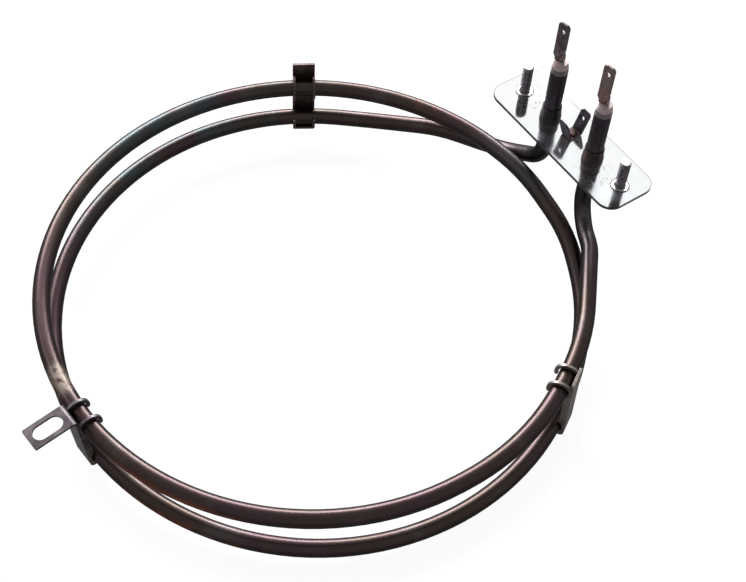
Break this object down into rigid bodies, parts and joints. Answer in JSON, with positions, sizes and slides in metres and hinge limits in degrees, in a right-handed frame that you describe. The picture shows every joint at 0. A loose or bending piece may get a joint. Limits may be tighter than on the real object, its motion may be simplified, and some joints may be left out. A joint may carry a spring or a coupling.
{
  "type": "tubular heating element",
  "caption": "Round two-turn tubular heating element with a stud mounting plate, push-on terminals and coil clips, made to encircle a convection fan.",
  "frame": {"origin": "middle of the mounting plate's mating face, on the line between the two studs", "axes": "+Z along the studs and terminals, away from the coil; +X from the left stud to the right stud with the coil towards -Y"},
  "size_m": [0.2031, 0.2367, 0.1007],
  "materials": {
    "sheath_metal": "heat-tinted satin",
    "powder": "matte pressed powder",
    "zinc_plate": "bright",
    "stud_steel": "bright",
    "collar_steel": "satin",
    "pin_steel": "satin",
    "tab_steel": "satin, nickel-plated",
    "seal_silicone": "satin",
    "earth_steel": "satin, heat-tinted",
    "clip_steel": "satin"
  },
  "bodies": {
    "root": {"heater_sheath": "sheath_metal", "leg_powder_left": "powder", "leg_powder_right": "powder", "terminal_pin_left": "pin_steel", "terminal_pin_right": "pin_steel", "end_seal_left": "seal_silicone", "end_seal_right": "seal_silicone", "tab_terminal_left": "tab_steel", "tab_terminal_right": "tab_steel", "mounting_plate": "zinc_plate", "stud_left": "stud_steel", "stud_right": "stud_steel", "sheath_collar_left": "collar_steel", "sheath_collar_right": "collar_steel", "earth_tab": "earth_steel", "earth_rivet": "earth_steel", "coil_clip_back": "clip_steel", "coil_clip_side": "clip_steel", "coil_clip_slotted": "clip_steel"}
  },
  "joints": []
}
